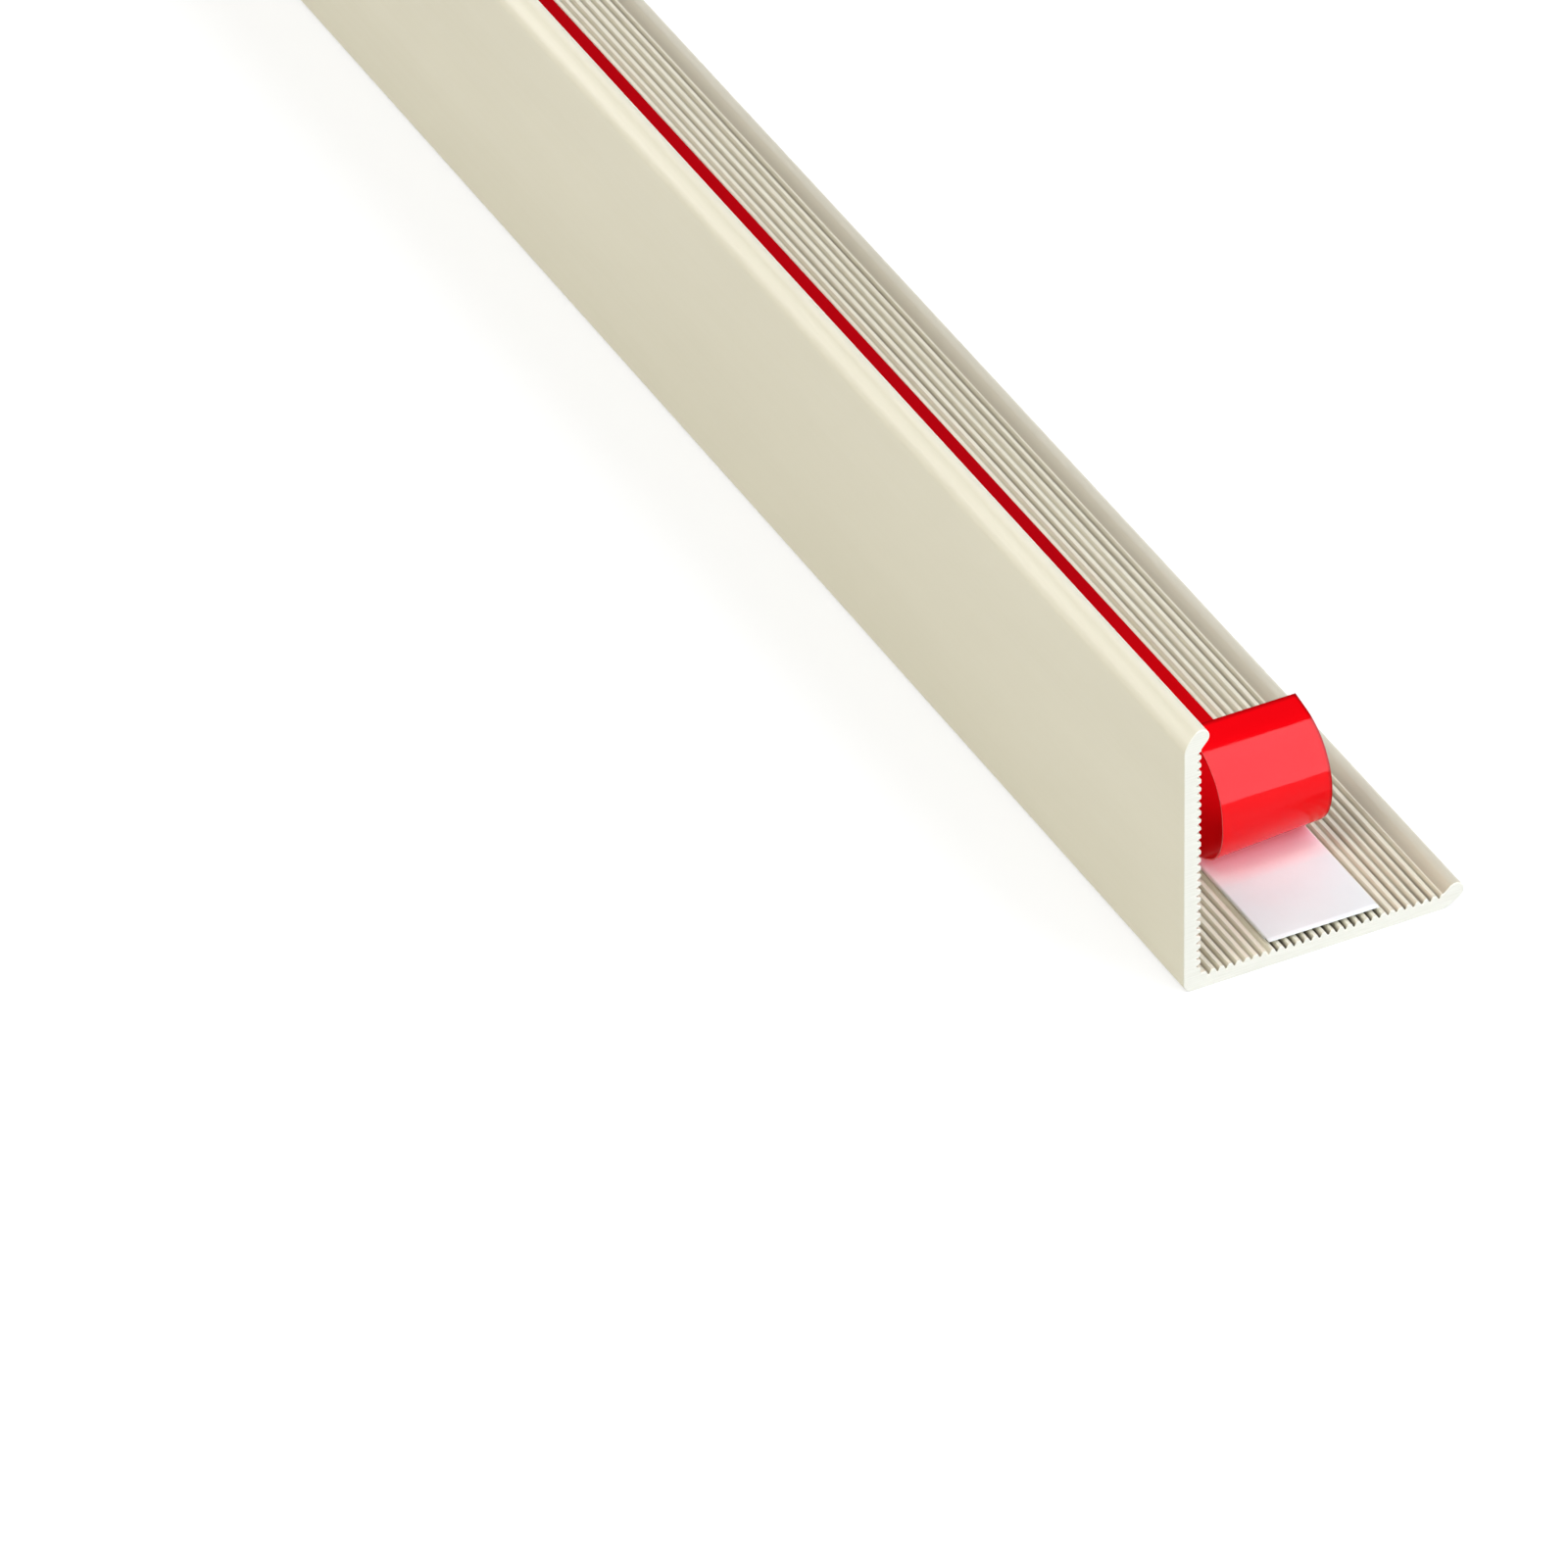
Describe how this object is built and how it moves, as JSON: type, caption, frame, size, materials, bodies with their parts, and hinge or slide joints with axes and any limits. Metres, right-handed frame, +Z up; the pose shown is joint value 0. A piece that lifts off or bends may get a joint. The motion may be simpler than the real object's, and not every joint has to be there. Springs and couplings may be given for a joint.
{
  "type": "corner guard moulding",
  "caption": "Equal-angle corner guard moulding with a ribbed inside and turned-in lips, held by adhesive tape under a red release liner that curls back at the end.",
  "frame": {"origin": "bottom centre of the strip's box, on the floor that the lying leg rests on", "axes": "+Y along the length, from the end with the peeled liner to the plain end; +X along the lying leg, from the corner to its free edge; +Z up along the upright leg"},
  "size_m": [0.025, 0.4, 0.025],
  "materials": {
    "cream_pvc": "satin extruded PVC, cream",
    "white_tape": "white double-sided tape",
    "red_film": "glossy red release film"
  },
  "bodies": {
    "root": {"corner_profile": "cream_pvc", "adhesive_tape": "white_tape", "release_liner": "red_film"}
  },
  "joints": []
}
